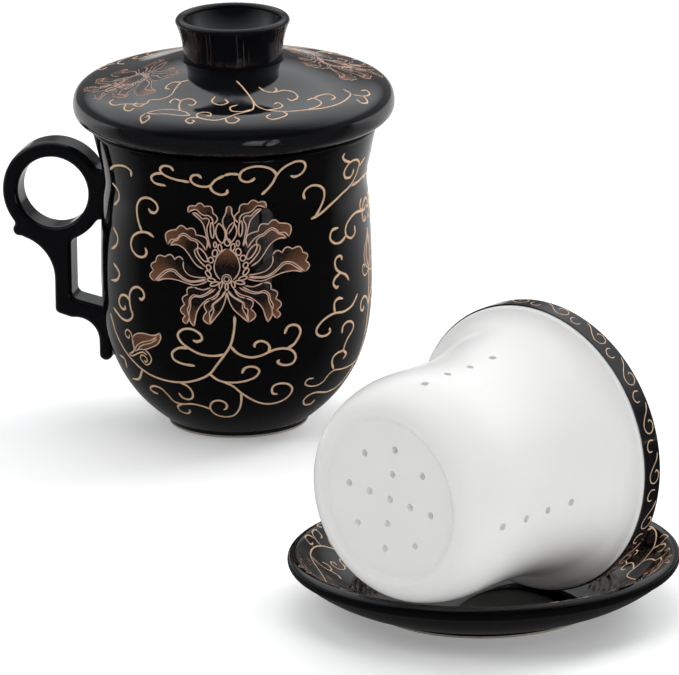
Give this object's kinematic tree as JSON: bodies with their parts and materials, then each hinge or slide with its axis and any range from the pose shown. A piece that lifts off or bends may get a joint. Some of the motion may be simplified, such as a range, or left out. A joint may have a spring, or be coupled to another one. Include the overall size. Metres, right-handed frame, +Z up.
{
  "type": "lidded tea mug with infuser",
  "caption": "Bell-shaped tea mug with ring handle, domed lid with hollow knob, drop-in strainer infuser lying on its side, and a footed saucer.",
  "frame": {"origin": "centre of the underside of the mug's foot ring, on the table", "axes": "+Z up along the mug's axis; the mug's handle points along -X; the saucer with the infuser on it stands towards +X and -Y"},
  "size_m": [0.2559, 0.3024, 0.1337],
  "materials": {
    "black_glaze": "deep gloss black glaze with thin gold scroll lines and a brown lotus",
    "white_glaze": "gloss clear glaze on white porcelain"
  },
  "bodies": {
    "mug": {"mug_body": "black_glaze", "mug_handle": "black_glaze"},
    "lid": {"lid_dome": "black_glaze", "lid_knob": "black_glaze"},
    "saucer": {"saucer": "black_glaze"},
    "infuser": {"infuser_basket": "white_glaze", "infuser_collar": "black_glaze"}
  },
  "joints": [
    {"name": "lid_lift", "type": "slide", "parent": "mug", "child": "lid", "axis": [0, 0, 1], "range_m": [0, 0.06]},
    {"name": "saucer_lift", "type": "slide", "parent": "mug", "child": "saucer", "axis": [0, 0, 1], "range_m": [0, 0.08]},
    {"name": "infuser_lift", "type": "slide", "parent": "saucer", "child": "infuser", "axis": [0, 0, 1], "range_m": [0, 0.1]}
  ]
}
